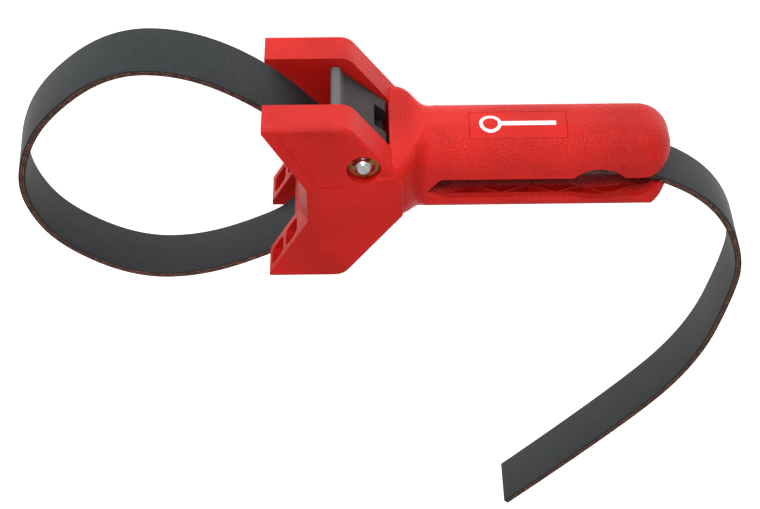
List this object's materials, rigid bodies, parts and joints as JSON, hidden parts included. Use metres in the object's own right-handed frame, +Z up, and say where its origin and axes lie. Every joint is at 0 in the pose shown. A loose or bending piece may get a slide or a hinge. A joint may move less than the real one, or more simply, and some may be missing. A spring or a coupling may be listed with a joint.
{
  "type": "strap wrench",
  "caption": "Cam-locking strap wrench: a hollow red handle with V jaws, a flat rubber strap in a loop, and a sprung thumb cam on a steel pin.",
  "frame": {"origin": "on the cheek that the wrench rests on, under the cam pin's axis in X and under the middle of the V jaws in Y", "axes": "+X from the loop to the butt of the handle, +Y across the jaws towards the cam, +Z up from the cheek that the wrench rests on"},
  "size_m": [0.3674, 0.3337, 0.072],
  "materials": {
    "red_nylon": "moulded, fine pebble grain",
    "dark_nylon": "moulded, fine grain",
    "pin_steel": "turned",
    "spring_steel": "drawn wire",
    "plated_steel": "yellow zinc plated",
    "strap_rubber": "matte, fabric reinforced",
    "plate_steel": "stamped"
  },
  "bodies": {
    "body": {"handle": "red_nylon", "cam_pin": "pin_steel", "cam_spring": "spring_steel", "pin_clip_upper": "plated_steel", "pin_clip_lower": "plated_steel", "strap": "strap_rubber", "anchor_plate_front": "plate_steel", "anchor_plate_rear": "plate_steel", "anchor_rivet_upper": "pin_steel", "anchor_rivet_lower": "pin_steel"},
    "lever": {"cam": "dark_nylon"}
  },
  "joints": [
    {"name": "cam_pivot", "type": "hinge", "parent": "body", "child": "lever", "pos_m": [0, 0.0227, 0.036], "axis": [0, 0, 1], "range_deg": [0, 22], "stiffness_Nm_per_rad": 0.05, "springref_deg": -20.05, "deforming": ["cam_spring"]}
  ]
}
